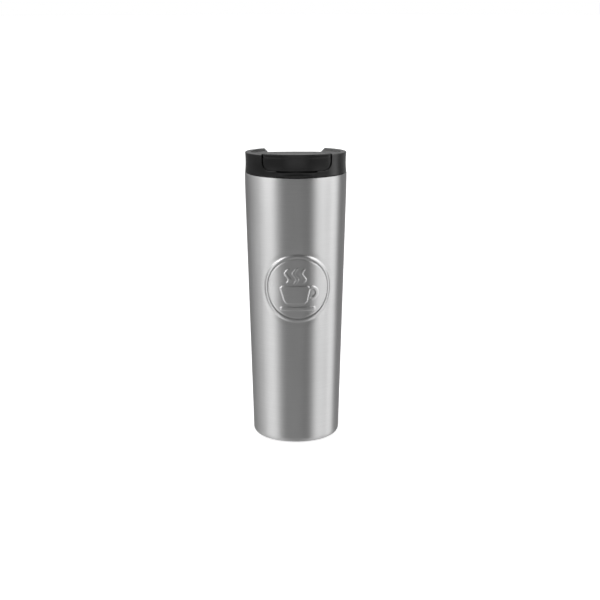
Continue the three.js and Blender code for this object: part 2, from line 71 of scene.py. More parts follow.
SHELL_HIGH = cad("outer_shell")[1]
RIM_R = SHELL_HIGH.x
RIM_Z = SHELL_HIGH.z
FOOT_R = 31.45
FOOT_FILLET = 4.3
FOOT_STEPS = 16
FOLD_Z = 3.0  # height of the edge that is folded in under the foot
FOLD_EASE = 0.15
RIM_EASE = 17.3
SHELL_T = 0.5
WALL = 4.0
LINER_T = 0.4
LINER_FLOOR = cad("inner_liner")[0].z + LINER_T
LINER_CORNER = 7.0
NECK_R = 33.0
NECK_Z = (177.0, 188.5)
MOUTH_R = 35.1
SHOULDER_Z = 190.6

BASE_R = cad("outer_base")[1].x
BASE_Z = cad("outer_base")[0].z
BASE_SHEET = 0.5
BASE_FLANGE_Z = 3.0
PORT_R = 3.0
COVER_LOW, COVER_HIGH = cad("base_cover")

THREAD_STARTS = 2
THREAD_LEAD = 12.0
THREAD_TURN = 210
THREAD_DEPTH = 1.1
THREAD_ROOT = -0.2  # the ridge starts this far inside the wall
THREAD_FADE = 0.08  # share of a ridge over which each end sinks in
NECK_THREAD_Z = 180.4
LID_THREAD_Z = 180.0
THREAD_OFFSET = 2.1

COLLAR_Z = cad("lid_collar")[0].z
COLLAR_R = cad("lid_collar")[1].x
COLLAR_WAIST = 0.35
COLLAR_BORE = 33.2
LIP_Z = 209.2
LIP_TILT = 0.038
LIP_INNER_R = 31.9
SHELF_DROP = 1.2
WING_SHEET = 2.2
LEVER_Z = 207.7
LEVER_TILT = 0.0905
CHANNEL_HALF = 21.85
CHANNEL_FLARE = 1 / 1.15
WINDOW_HALF = 24.5
WINDOW_SILL = 199.1
WINDOW_CORNER = 5.5
NOTCH_HALF = 14.0
NOTCH_Z = 196.7
NOTCH_Y = -34.0

BASE_PART_R = 32.9
SKIRT_R = 31.5
SKIRT_INNER_R = 29.6
SKIRT_FOOT_Z = cad("lid_base")[0].z
TOP_PLATE_Z = (197.0, 199.0)
SEAL_LIP_Z = (189.9, 190.5)
SEAL_LIP_R = cad("lid_base")[1].x
DECK_DROP = 3.4
DECK_SHEET = 2.0
DECK_SIDE_GAP = 0.45
SIP_HALF_X = 8.0
SIP_HALF_Y = 3.2
SIP_Y = -24.4
VENT_Y = 4.0
VENT_R = 1.4
DUCT_SHEET = 1.7
DUCT_FOOT_Z = 180.9
POST_X = (16.0, 17.8)
POST_HALF_Y = 1.1
GASKET_CORE_R = 34.1

LEVER_R = 36.2
LEVER_INNER_R = 33.8
LEVER_SHEET = 2.6
LEVER_SIDE_GAP = 0.5
SKIRT_GAP = 0.9
LEVER_EDGE = 0.75
LEVER_SKIRT_Z = cad("flip_lever")[0].z
HINGE = joint_place("lever_flip")
BARREL_R = 3.2
BARREL_HALF = 14.8
CHEEK_X = 15.3
CHEEK_FRONT = 3.8
SWEEP_R = 5.6
BRIDGE_Y = 21.5
PIN_R = 1.2
PIN_PLAY = 0.2
PIN_HALF = cad("hinge_pin")[1].x
SEAT_GAP = 0.15  # from a stopper's flange to the deck
PLATE_GAP = 0.12  # from a stopper to the lever's plate
PLUG_PLAY = 0.3

EMBLEM_X = 0.5  # the emblem sits this far round the wall from the lever's middle
EMBLEM_Z = 115.9
EMBLEM_SQUEEZE = 0.97  # the ring is a little wider than it is tall
EMBLEM_REACH = 28.5
EMBLEM_PITCH = 0.36
DISC = (20.9, 21.6)  # each slope of the relief runs between two radii
BEAD_INNER = (21.9, 22.6)
BEAD_OUTER = (23.5, 24.7)
DIP = (24.5, 24.9)
DISC_HEIGHT = 0.16
BEAD_HEIGHT = 0.38
DIP_DEPTH = 0.14
MARK_HEIGHT = 0.34
MARK_EDGE = 0.4
MARK_R = 21
WALL_PITCH = 4.5
TURN_PITCH = 3.0  # degrees

FINE = 240  # facets round a turned piece
SMOOTH_ANGLE = 35
SLIVER = 0.02
UNDER_LID, OVER_LID = 150, 230  # heights where upright cutting tools begin and end
REACH = 70  # cutting tools end this far out
SIDE_REACH = 60


# ---------------------------------------------------------------- mesh helpers
def link_mesh(name, vertices, faces):
    mesh = bpy.data.meshes.new(name)
    mesh.from_pydata(vertices, [], faces)
    obj = bpy.data.objects.new(name, mesh)
    bpy.context.scene.collection.objects.link(obj)
    face_outwards(obj)
    return obj


def face_outwards(obj):
    """Turns the faces outwards, for booleans and for the export."""
    mesh = bmesh.new()
    mesh.from_mesh(obj.data)
    bmesh.ops.recalc_face_normals(mesh, faces=mesh.faces)
    if mesh.calc_volume(signed=True) < 0:
        bmesh.ops.reverse_faces(mesh, faces=mesh.faces)
    mesh.to_mesh(obj.data)
    mesh.free()


def filleted(corners, steps=4):
    """A closed outline from corners (a, b) or (a, b, fillet radius), with the fillets as arcs."""
    outline = []
    count = len(corners)
    for i, corner in enumerate(corners):
        here = Vector(corner[:2])
        radius = corner[2] if len(corner) > 2 else 0
        if radius <= 0:
            outline.append(tuple(here))
            continue
        back = (Vector(corners[i - 1][:2]) - here).normalized()
        on = (Vector(corners[(i + 1) % count][:2]) - here).normalized()
        half = back.angle(on) / 2
        reach = radius / math.tan(half)
        centre = here + (back + on).normalized() * (radius / math.sin(half))
        first = here + back * reach - centre
        last = here + on * reach - centre
        sweep = first.angle_signed(last)
        for k in range(steps + 1):
            turn = Matrix.Rotation(-sweep * k / steps, 2)
            outline.append(tuple(centre + turn @ first))
    return outline


def turned(name, profile):
    """A turned solid from a closed outline of (radius, height)."""
    vertices, rings = [], []
    for radius, height in profile:
        if radius < 1e-6:
            rings.append([len(vertices)] * FINE)
            vertices.append((0, 0, height))
            continue
        rings.append(range(len(vertices), len(vertices) + FINE))
        for k in range(FINE):
            a = 2 * math.pi * k / FINE
            vertices.append((radius * math.cos(a), radius * math.sin(a), height))
    faces = []
    for i, ring in enumerate(rings):
        above = rings[(i + 1) % len(rings)]
        for k in range(FINE):
            n = (k + 1) % FINE
            face = list(dict.fromkeys((ring[k], ring[n], above[n], above[k])))
            if len(face) > 2:
                faces.append(face)
    return link_mesh(name, vertices, faces)


def extruded(name, outline, axis, low, high):
    """A solid from a closed outline, extruded along an axis. The outline's axes are XZ, XY or YZ."""
    place = {
        "x": lambda a, b, t: (t, a, b),
        "y": lambda a, b, t: (a, t, b),
        "z": lambda a, b, t: (a, b, t),
    }[axis]
    count = len(outline)
    vertices = [place(a, b, low) for a, b in outline] + [place(a, b, high) for a, b in outline]
    faces = [list(range(count)), list(range(2 * count - 1, count - 1, -1))]
    faces += [(k, (k + 1) % count, (k + 1) % count + count, k + count) for k in range(count)]
    return link_mesh(name, vertices, faces)


def disc_profile(radius, low=UNDER_LID, high=OVER_LID):
    return [(0, low), (radius, low), (radius, high), (0, high)]


def block(name, x, y, z):
    return extruded(name, [(x[0], y[0]), (x[1], y[0]), (x[1], y[1]), (x[0], y[1])], "z", *z)


def rod(name, radius, half, segments=64):
    """A rod along X on the hinge line."""
    outline = []
    for k in range(segments):
        a = 2 * math.pi * k / segments
        outline.append((HINGE.y + radius * math.cos(a), HINGE.z + radius * math.sin(a)))
    return extruded(name, outline, "x", -half, half)


def slot_outline(half_x, half_y):
    """The outline of the sip opening in X and Y, with round ends."""
    steps = 16
    points = []
    for side in (1, -1):
        for k in range(steps + 1):
            a = math.pi * k / steps - math.pi / 2
            x = half_x - half_y + half_y * math.cos(a)
            points.append((side * x, SIP_Y + side * half_y * math.sin(a)))
    return points


def vent_outline(radius):
    steps = 48
    return [
        (radius * math.cos(2 * math.pi * k / steps), VENT_Y + radius * math.sin(2 * math.pi * k / steps))
        for k in range(steps)
    ]


def above_plane(name, height):
    """Everything above a plane that passes height on the axis and falls towards +Y as the lever does."""
    top = height + 40
    fall = LEVER_TILT * REACH
    outline = [(-REACH, height + fall), (REACH, height - fall), (REACH, top), (-REACH, top)]
    return extruded(name, outline, "x", -REACH, REACH)


def channel(name, inset, y=(-REACH, REACH), low=12.0):
    """The space between the wings: flat sides that flare upwards, drawn in by inset."""
    high = 8
    bottom, top = LEVER_Z - low, LEVER_Z + high
    half_low = CHANNEL_HALF - low * CHANNEL_FLARE - inset
    half_high = CHANNEL_HALF + high * CHANNEL_FLARE - inset
    outline = [(-half_low, bottom), (half_low, bottom), (half_high, top), (-half_high, top)]
    return extruded(name, outline, "y", *y)


def front_window(name, inset, sill):
    """The opening in the collar's front, drawn in by inset, with round lower corners."""
    half = WINDOW_HALF - inset
    corner = WINDOW_CORNER - inset / 2
    top = LEVER_Z + 10
    outline = filleted([(half, top), (-half, top), (-half, sill, corner), (half, sill, corner)], 12)
    return extruded(name, outline, "y", -REACH, -10)


def boolean(body, tool, operation):
    """Joins, cuts or intersects body with tool, and deletes tool."""
    modifier = body.modifiers.new("boolean", "BOOLEAN")
    modifier.operation = operation
    modifier.solver = "MANIFOLD"
    modifier.object = tool
    bake(body)
    bpy.data.objects.remove(tool)
    return body


def cut(body, *tools):
    for tool in tools:
        boolean(body, tool, "DIFFERENCE")
    return body


def join(body, *tools):
    for tool in tools:
        boolean(body, tool, "UNION")
    return body


def keep(body, *tools):
    for tool in tools:
        boolean(body, tool, "INTERSECT")
    return body


def bake(obj):
    """Applies an object's modifiers to its mesh."""
    graph = bpy.context.evaluated_depsgraph_get()
    mesh = bpy.data.meshes.new_from_object(obj.evaluated_get(graph))
    obj.modifiers.clear()
    obj.data = mesh


def mirrored(obj, name):
    """A copy of a solid on the other side of the mug's middle plane."""
    twin = bpy.data.objects.new(name, obj.data.copy())
    twin.data.transform(Matrix.Scale(-1, 4, Vector((1, 0, 0))))
    bpy.context.scene.collection.objects.link(twin)
    face_outwards(twin)
    return twin


def shear(obj, low, high):
    """Lets the part above low fall towards +Y by the lip's tilt, from none at low to all of it at high."""
    for vertex in obj.data.vertices:
        share = min(1, max(0, (vertex.co.z - low) / (high - low)))
        vertex.co.z -= LIP_TILT * vertex.co.y * share
    return obj


def slope_back(obj, low, high):
    """Lets the part above low fall towards +Y by the lever's tilt, from a front edge that stays level."""
    rear = 30  # here the fall is the tilted plane's
    for vertex in obj.data.vertices:
        x, y, z = vertex.co
        front = -math.sqrt(max(LEVER_R**2 - x * x, 0))
        along = (y - front) / (rear - front) * (rear + LEVER_R) - LEVER_R
        share = min(1, max(0, (z - low) / (high - low)))
        vertex.co.z -= LEVER_TILT * along * share


def clean(obj):
    """Melts the slivers that cuts leave."""
    mesh = bmesh.new()
    mesh.from_mesh(obj.data)
    bmesh.ops.remove_doubles(mesh, verts=mesh.verts, dist=SLIVER)
    bmesh.ops.dissolve_degenerate(mesh, edges=mesh.edges, dist=SLIVER)
    bmesh.ops.dissolve_limit(
        mesh, angle_limit=math.radians(0.2), verts=mesh.verts, edges=mesh.edges, delimit={"NORMAL"}
    )
    mesh.to_mesh(obj.data)
    mesh.free()


def soften_edges(obj, width, segments=3, angle=32):
    """Rounds the sharp edges, as a mould leaves them."""
    modifier = obj.modifiers.new("bevel", "BEVEL")
    modifier.width = width
    modifier.segments = segments
    modifier.limit_method = "ANGLE"
    modifier.angle_limit = math.radians(angle)
    modifier.use_clamp_overlap = False
    modifier.miter_outer = "MITER_ARC"
    bake(obj)


def finish_piece(obj, node, body, material):
    """Turns a shape into a piece: metres, smooth faces, finish and a body to move with; hides the CAD node
    that it stands for.
    """
    obj.data.transform(Matrix.Scale(MM, 4))
    obj.data.materials.clear()
    obj.data.materials.append(material)
    obj.data.shade_smooth()
    obj.data.set_sharp_from_angle(angle=math.radians(SMOOTH_ANGLE))
    modifier = obj.modifiers.new("normals", "WEIGHTED_NORMAL")
    modifier.keep_sharp = True
    bake(obj)
    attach(obj, body)
    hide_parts(node)
    return obj


def ridge(name, wall_r, direction, start_z, start_degrees):
    """One thread ridge, wound into a helix. Its ends sink into the wall."""
    steps = 90
    foot, crest, edge = 1.0, 0.6, 0.3
    section = filleted([
        (THREAD_ROOT, -foot),
        (THREAD_DEPTH, -crest, edge),
        (THREAD_DEPTH, crest, edge),
        (THREAD_ROOT, foot),
    ], 3)
    vertices, faces = [], []
    count = len(section)
    for i in range(steps + 1):
        share = i / steps
        ends = min(1, share / THREAD_FADE, (1 - share) / THREAD_FADE)
        angle = math.radians(start_degrees + share * THREAD_TURN)
        rise = start_z + share * THREAD_TURN * THREAD_LEAD / 360
        for out, along in section:
            height = out if out < 0 else -0.1 + (out + 0.1) * ends
            radius = wall_r + direction * height
            vertices.append((radius * math.cos(angle), radius * math.sin(angle), rise + along))
    for i in range(steps):
        for k in range(count):
            n = (k + 1) % count
            faces.append((i * count + k, i * count + n, (i + 1) * count + n, (i + 1) * count + k))
    faces.append(list(range(count)))
    faces.append([steps * count + k for k in reversed(range(count))])
    return link_mesh(name, vertices, faces)


def threads(wall_r, direction, start_z, start_degrees):
    """All ridges of a thread, outwards (1) or inwards (-1) from a wall."""
    turns = [start_degrees + i * 360 / THREAD_STARTS for i in range(THREAD_STARTS)]
    return [ridge("ridge", wall_r, direction, start_z, turn) for turn in turns]


# ---------------------------------------------------------------- steel body
def wall_radius(z):
    """Outer radius of the body at a height above the foot."""
    taper = (RIM_R - FOOT_R) / (RIM_Z - FOOT_FILLET - RIM_EASE / 2)
    ease_from = RIM_Z - RIM_EASE
    if z <= ease_from:
        return FOOT_R + taper * (z - FOOT_FILLET)
    share = (z - ease_from) / RIM_EASE
    return FOOT_R + taper * (ease_from - FOOT_FILLET + RIM_EASE * (share - share * share / 2))


def step_up(x, low, high):
    """0 under low, 1 over high, and an S-curve between them."""
    t = min(1, max(0, (x - low) / (high - low)))
    return t * t * (3 - 2 * t)


def box_distance(x, z, half_x, half_z, radius):
    """Distance to a box with round corners, negative inside."""
    dx = abs(x) - half_x + radius
    dz = abs(z) - half_z + radius
    outside = math.hypot(max(dx, 0), max(dz, 0))
    return outside + min(max(dx, dz), 0) - radius


def pictogram_distance(x, z):
    """Distance to a steaming cup on a saucer, negative inside. x and z are from the emblem's centre."""
    lean = 1 + 0.03 * (z + 4.5)  # the cup widens upwards
    cup = box_distance(x / lean + 1.8, z + 4.5, 9.4, 6.4, 2.6)
    handle = abs(math.hypot(x - 9.8, (z + 3.2) * 1.05) - 4.0) - 1.15
    if x < 8.6:
        handle = 9
    saucer = box_distance(x, z + 14.6, 12.6, 1.3, 1.2)
    steam = 9
    for i in (-1, 0, 1):
        sway = 1.25 * math.sin((z - 4.4) * 0.7)
        ends = max(abs(z - 9.2) - 4.6 + 0.6 * abs(i), 0)
        steam = min(steam, math.hypot(x + 1.8 - i * 5.4 - sway, ends) - 1.05)
    return min(cup, handle, saucer, steam)


def relief(arc, z):
    """Height of the emblem over the wall: a disc with a mark, a round bead, and a shallow dip round it.

    arc and z are the way round the wall and the height, from the emblem's centre.
    """
    out = math.hypot(arc * EMBLEM_SQUEEZE, z)
    if out > EMBLEM_REACH:
        return 0
    bead = step_up(out, *BEAD_INNER) * (1 - step_up(out, *BEAD_OUTER)) * BEAD_HEIGHT
    disc = (1 - step_up(out, *DISC)) * DISC_HEIGHT
    dip = -DIP_DEPTH * step_up(out, *DIP) * (1 - step_up(out, DIP[1], EMBLEM_REACH))
    mark = 0
    if out < MARK_R:
        mark = (1 - step_up(pictogram_distance(arc, z), -MARK_EDGE, MARK_EDGE)) * MARK_HEIGHT
    return bead + disc + dip + mark


def spread(low, high, fine_low, fine_high, fine, coarse):
    """Places from low to high: a fine pitch between two of them, and a coarse one elsewhere."""
    places = []
    stretches = ((low, fine_low, coarse), (fine_low, fine_high, fine), (fine_high, high, coarse))
    for start, end, pitch in stretches:
        steps = max(1, math.ceil((end - start) / pitch))
        places += [start + (end - start) * i / steps for i in range(steps)]
    return places + [high]


def arc_points(r, z, radius, start, end, steps):
    """Points of an arc round (r, z), from start to end in degrees."""
    points = []
    for i in range(steps + 1):
        a = math.radians(start + (end - start) * i / steps)
        points.append((r + radius * math.cos(a), z + radius * math.sin(a)))
    return points


def make_shell(material):
    fine_turn = math.degrees(EMBLEM_REACH / wall_radius(EMBLEM_Z))
    fine_pitch = math.degrees(EMBLEM_PITCH / wall_radius(EMBLEM_Z))
    turns = spread(-180, 180, -fine_turn, fine_turn, fine_pitch, TURN_PITCH)[:-1]
    low, high = EMBLEM_Z - EMBLEM_REACH, EMBLEM_Z + EMBLEM_REACH
    heights = spread(FOOT_FILLET, RIM_Z - 0.2, low, high, EMBLEM_PITCH, WALL_PITCH)[1:]
    foot_centre = FOOT_R - FOOT_FILLET
    outside = arc_points(foot_centre, FOOT_FILLET, FOOT_FILLET, -90, 0, FOOT_STEPS)
    outside += [(wall_radius(z), z) for z in heights]
    first_wall, last_wall = FOOT_STEPS, len(outside)
    fold = BASE_R + 0.3
    inside = [(wall_radius(RIM_Z) - 0.1, RIM_Z), (wall_radius(RIM_Z) - SHELL_T + 0.1, RIM_Z)]
    inside += [(wall_radius(z) - SHELL_T, z) for z in (RIM_Z - 0.2, RIM_Z - 9, 170, 120, 70, 20)]
    inside += arc_points(foot_centre, FOOT_FILLET, FOOT_FILLET - SHELL_T, 0, -90, FOOT_STEPS // 2)
    inside += [(fold + SHELL_T, SHELL_T), (fold + SHELL_T, FOLD_Z), (fold, FOLD_Z)]
    inside += [(fold, FOLD_EASE), (fold + FOLD_EASE, 0)]
    profile = outside + inside
    vertices = []
    for i, (radius, z) in enumerate(profile):
        for turn in turns:
            raised = 0
            if first_wall <= i < last_wall:
                raised = relief(math.radians(turn) * radius - EMBLEM_X, z - EMBLEM_Z)
            a = math.radians(turn - 90)
            out = radius + raised
            vertices.append((out * math.cos(a), out * math.sin(a), z))
    across, count = len(turns), len(profile)
    faces = []
    for i in range(count):
        j = (i + 1) % count
        for k in range(across):
            n = (k + 1) % across
            faces.append((i * across + k, i * across + n, j * across + n, j * across + k))
    shell = link_mesh("steel_shell", vertices, faces)
    return finish_piece(shell, "outer_shell", "mug", material)


def make_liner(material):
    body_top = NECK_Z[0] - 2
    corner_z = LINER_FLOOR + LINER_CORNER
    corner_r = wall_radius(corner_z) - WALL - LINER_CORNER
    lip_r = RIM_R - SHELL_T - 0.2
    lip_z = RIM_Z - 0.8
    walls = [(wall_radius(z) - WALL, z) for z in (60, 110, 150, body_top)]
    corners = [(0, LINER_FLOOR - LINER_T)]
    corners += arc_points(corner_r, corner_z, LINER_CORNER + LINER_T, -90, 0, 12)
    corners += [(r + LINER_T, z) for r, z in walls]
    corners += [(NECK_R + LINER_T, NECK_Z[0], 1.0), (NECK_R + LINER_T, NECK_Z[1], 1.0)]
    corners += [(MOUTH_R + LINER_T, SHOULDER_Z, 0.8), (MOUTH_R + LINER_T, lip_z)]
    corners += [(lip_r, lip_z), (lip_r, RIM_Z, 0.3), (MOUTH_R, RIM_Z, 0.5)]
    corners += [(MOUTH_R, SHOULDER_Z, 0.8), (NECK_R, NECK_Z[1], 1.0), (NECK_R, NECK_Z[0], 1.0)]
    corners += [(r, z) for r, z in reversed(walls)]
    corners += arc_points(corner_r, corner_z, LINER_CORNER, 0, -90, 12)
    corners += [(0, LINER_FLOOR)]
    liner = turned("steel_liner", filleted(corners))
    join(liner, *threads(NECK_R, -1, NECK_THREAD_Z, 0))
    return finish_piece(liner, "inner_liner", "mug", material)


def make_base_plate(material):
    top = BASE_Z + BASE_SHEET
    plate = turned(
        "base_plate",
        filleted([
            (PORT_R, BASE_Z, 0.1),
            (BASE_R, BASE_Z, 0.8),
            (BASE_R, BASE_FLANGE_Z, 0.1),
            (BASE_R - BASE_SHEET, BASE_FLANGE_Z, 0.1),
            (BASE_R - BASE_SHEET, top, 0.3),
            (PORT_R, top, 0.1),
        ]),
    )
    return finish_piece(plate, "outer_base", "mug", material)


def make_base_cover(material):
    rim = COVER_HIGH.x
    low, top = COVER_LOW.z, COVER_HIGH.z
    dish = low + 0.3
    cover = turned(
        "base_disc",
        filleted([
            (0, dish),
            (rim - 2.2, dish, 0.8),
            (rim - 1.2, low, 0.6),
            (rim, low, 0.25),
            (rim, top, 0.15),
            (0, top),
        ]),
    )
    return finish_piece(cover, "base_cover", "mug", material)


# ---------------------------------------------------------------- lid
def waisted(radius, low, high):
    """A wall that curves in at mid height. Its outermost tenths are left straight for the edges' fillets."""
    mid, rise = (low + high) / 2, (high - low) / 2
    steps = 12
    shares = [-0.9 + 1.8 * i / steps for i in range(steps + 1)]
    return [(radius - COLLAR_WAIST * (1 - share * share), mid + rise * share) for share in shares]


def make_collar(material):
    shelf = LIP_Z - SHELF_DROP
    crown = TOP_PLATE_Z[1] + 0.5
    profile = filleted([
        (0, crown),
        (COLLAR_BORE, crown),
        (COLLAR_BORE, COLLAR_Z, 0.2),
        (COLLAR_R, COLLAR_Z, 0.15),
        *waisted(COLLAR_R, COLLAR_Z, LIP_Z),
        (COLLAR_R, LIP_Z, 0.7),
        (LIP_INNER_R + 0.3, LIP_Z, 0.6),
        (LIP_INNER_R, shelf, 0.5),
        (0, shelf),
    ], 5)
    collar = shear(turned("collar", profile), crown, shelf)
    under = shelf - WING_SHEET
    hollow = turned("hollow", disc_profile(COLLAR_BORE - WING_SHEET, crown - 1, under))
    shear(hollow, crown, under)
    cut(hollow, channel("wall", -WING_SHEET))
    window = cut(front_window("window", 0, WINDOW_SILL), turned("core", disc_profile(COLLAR_BORE - 0.2)))
    over_lever = keep(above_plane("over", LEVER_Z), channel("between", 0))
    notch = block("notch", (-NOTCH_HALF, NOTCH_HALF), (-SIDE_REACH, NOTCH_Y), (NOTCH_Z, WINDOW_SILL + 1))
    rear = HINGE.y - CHEEK_FRONT
    pin_slot = rod("pin_slot", PIN_R + PIN_PLAY, PIN_HALF + 0.3)
    cut(
        collar,
        hollow,
        channel("front_channel", 0, (-REACH, rear), 9.5),
        block("tongue_space", (-CHEEK_X, CHEEK_X), (rear - 1, BRIDGE_Y), (crown - 2, LEVER_Z + 6)),
        over_lever,
        window,
        notch,
        pin_slot,
    )
    clean(collar)
    soften_edges(collar, 0.25, angle=55)
    return finish_piece(collar, "lid_collar", "lid", material)


def make_lever(material):
    front = turned(
        "lever_skirt",
        filleted([
            (LEVER_INNER_R, LEVER_SKIRT_Z, 0.4),
            (LEVER_R, LEVER_SKIRT_Z, 0.2),
            *waisted(LEVER_R, LEVER_SKIRT_Z, LEVER_Z),
            (LEVER_R, LEVER_Z, LEVER_EDGE),
            (LEVER_INNER_R, LEVER_Z),
        ], 6),
    )
    plate = turned(
        "lever",
        filleted([
            (0, LEVER_Z - LEVER_SHEET),
            (LEVER_R, LEVER_Z - LEVER_SHEET),
            (LEVER_R, LEVER_Z, LEVER_EDGE),
            *[(LEVER_R - 3.6 * i, LEVER_Z) for i in range(1, 10)],  # rings that keep its shading even
            (0, LEVER_Z),
        ], 6),
    )
    bend = LEVER_Z - LEVER_SHEET
    slope_back(front, LEVER_SKIRT_Z, bend)
    slope_back(plate, LEVER_SKIRT_Z, bend)
    keep(front, front_window("outline", SKIRT_GAP, LEVER_SKIRT_Z))
    keep(plate, channel("sides", LEVER_SIDE_GAP, (-REACH, HINGE.y)))
    join(plate, front)
    # Room beside the barrel for the cheeks that hold the pin.
    beside = block("beside", (BARREL_HALF, SIDE_REACH), (-20, SIDE_REACH), (UNDER_LID, OVER_LID))
    sweep = rod("sweep", SWEEP_R, SIDE_REACH)
    left = mirrored(beside, "beside_left")
    cut(plate, keep(sweep, join(beside, left)))
    over = above_plane("over", LEVER_Z - 0.01)
    boss = extruded("boss", slot_outline(SIP_HALF_X - 3, SIP_HALF_Y - 2), "z", LEVER_Z - 4.5, LEVER_Z + 1)
    join(plate, rod("barrel", BARREL_R, BARREL_HALF), cut(boss, over))
    cut(plate, rod("bore", PIN_R + PIN_PLAY, SIDE_REACH, 32))
    clean(plate)
    soften_edges(plate, 0.25)
    return finish_piece(plate, "flip_lever", "lever", material)


def bores():
    """The drinking duct's bore and the vent's, right through the lid."""
    sip = extruded("sip", slot_outline(SIP_HALF_X, SIP_HALF_Y), "z", UNDER_LID, OVER_LID)
    return sip, extruded("breather", vent_outline(VENT_R), "z", UNDER_LID, OVER_LID)


def make_lid_base(material):
    base = turned(
        "lid_cup",
        filleted([
            (SKIRT_INNER_R, SKIRT_FOOT_Z, 0.4),
            (SKIRT_R, SKIRT_FOOT_Z, 0.6),
            (SKIRT_R, SEAL_LIP_Z[0] - 0.5, 0.3),
            (SEAL_LIP_R, SEAL_LIP_Z[0], 0.2),
            (SEAL_LIP_R, SEAL_LIP_Z[1], 0.2),
            (BASE_PART_R, SEAL_LIP_Z[1]),
            (BASE_PART_R, TOP_PLATE_Z[1], 0.5),
            (0, TOP_PLATE_Z[1]),
            (0, TOP_PLATE_Z[0]),
            (SKIRT_INNER_R, TOP_PLATE_Z[0], 0.8),
        ]),
    )
    deck_end = HINGE.y - BARREL_R - 1
    deck_z = LEVER_Z - DECK_DROP
    raised = turned("raised", disc_profile(BASE_PART_R - 0.3, TOP_PLATE_Z[0] + 0.5, LEVER_Z + 8))
    keep(raised, channel("sides", DECK_SIDE_GAP, (-REACH, deck_end)))
    cut(raised, above_plane("over", deck_z))
    hollow = turned("hollow", disc_profile(SKIRT_INNER_R, TOP_PLATE_Z[0] - 1, LEVER_Z + 8))
    keep(hollow, channel("sides", DECK_SIDE_GAP + DECK_SHEET, (-REACH, deck_end - DECK_SHEET)))
    cut(hollow, above_plane("over", deck_z - DECK_SHEET))
    join(base, raised)
    cut(base, hollow)
    duct_outline = slot_outline(SIP_HALF_X + DUCT_SHEET, SIP_HALF_Y + DUCT_SHEET)
    duct = extruded("duct", duct_outline, "z", DUCT_FOOT_Z, LEVER_Z + 3)
    # The duct's front runs into the skirt's wall, and into the deck's front above it.
    keep(duct, turned("bound", [
        (0, UNDER_LID),
        (SKIRT_INNER_R + 0.5, UNDER_LID),
        (SKIRT_INNER_R + 0.5, TOP_PLATE_Z[0]),
        (BASE_PART_R - 1, TOP_PLATE_Z[0]),
        (BASE_PART_R - 1, OVER_LID),
        (0, OVER_LID),
    ]))
    cut(duct, above_plane("over", deck_z - 1))
    vent = extruded("vent", vent_outline(VENT_R + DUCT_SHEET), "z", DUCT_FOOT_Z, LEVER_Z + 1)
    cut(vent, above_plane("over", deck_z - 1))
    join(base, duct, vent)
    cut(base, *bores())
    post_top = HINGE.z - PIN_R - PIN_PLAY
    post_y = (HINGE.y - POST_HALF_Y, HINGE.y + POST_HALF_Y)
    post = block("post", POST_X, post_y, (TOP_PLATE_Z[0] + 0.5, post_top))
    join(base, mirrored(post, "post_left"), post)
    clean(base)
    soften_edges(base, 0.2)
    drop = NECK_THREAD_Z - LID_THREAD_Z
    turn = (THREAD_OFFSET - drop) / THREAD_LEAD * 360
    join(base, *threads(SKIRT_R, 1, LID_THREAD_Z, turn))
    return finish_piece(base, "lid_base", "lid", material)


def make_insert(material):
    low, high = (corner.z for corner in cad("lid_insert"))
    rim = cad("lid_insert")[1].x
    plate = turned("lid_insert_plate", filleted([(0, low), (rim, low, 0.5), (rim, high, 0.3), (0, high)]))
    cut(plate, *bores())
    clean(plate)
    soften_edges(plate, 0.2)
    return finish_piece(plate, "lid_insert", "lid", material)


def make_gasket(material):
    low, high = (corner.z for corner in cad("lid_gasket"))
    fin = cad("lid_gasket")[1].x
    inner = BASE_PART_R + 0.2
    core = GASKET_CORE_R
    step = (high - low) / 5
    ring = turned(
        "seal_ring",
        filleted([
            (inner, low, 0.2),
            (core, low, 0.2),
            (fin, low + step, 0.25),
            (core, low + 2 * step, 0.2),
            (core, low + 2.6 * step, 0.2),
            (fin, low + 3.6 * step, 0.25),
            (core, low + 4.6 * step, 0.1),
            (core, high, 0.1),
            (inner, high, 0.2),
        ], 3),
    )
    return finish_piece(ring, "lid_gasket", "lid_carrier", material)


def make_pin(material):
    pin = rod("pivot_pin", PIN_R, PIN_HALF, 48)
    soften_edges(pin, 0.25, 2)
    return finish_piece(pin, "hinge_pin", "lid", material)


def make_sip_stopper(material):
    """A flange on the deck, a plug in the duct, and a socket for the lever's boss."""
    flange_outline = slot_outline(SIP_HALF_X + 1.3, SIP_HALF_Y + 1.3)
    plug_outline = slot_outline(SIP_HALF_X - PLUG_PLAY, SIP_HALF_Y - PLUG_PLAY)
    socket_outline = slot_outline(SIP_HALF_X - 2.7, SIP_HALF_Y - 1.7)
    flange = extruded("sip_seal", flange_outline, "z", LEVER_Z - 9, LEVER_Z + 3)
    keep(flange, above_plane("over_deck", LEVER_Z - DECK_DROP + SEAT_GAP))
    plug = extruded("plug", plug_outline, "z", LEVER_Z - 5.7, LEVER_Z + 3)
    socket = extruded("socket", socket_outline, "z", LEVER_Z - 4.8, LEVER_Z + 4)
    join(flange, plug)
    cut(flange, above_plane("plate", LEVER_Z - LEVER_SHEET - PLATE_GAP), socket)
    clean(flange)
    soften_edges(flange, 0.2)
    return finish_piece(flange, "sip_stopper", "lever", material)


def make_vent_stopper(material):
    flange = extruded("vent_seal", vent_outline(VENT_R + 1), "z", LEVER_Z - 9, LEVER_Z + 3)
    keep(flange, above_plane("over_deck", LEVER_Z - DECK_DROP + SEAT_GAP))
    plug = extruded("plug", vent_outline(VENT_R - PLUG_PLAY), "z", LEVER_Z - DECK_DROP - 2.2, LEVER_Z + 3)
    join(flange, plug)
    cut(flange, above_plane("plate", LEVER_Z - LEVER_SHEET - PLATE_GAP))
    clean(flange)
    soften_edges(flange, 0.12)
    return finish_piece(flange, "vent_stopper", "lever", material)


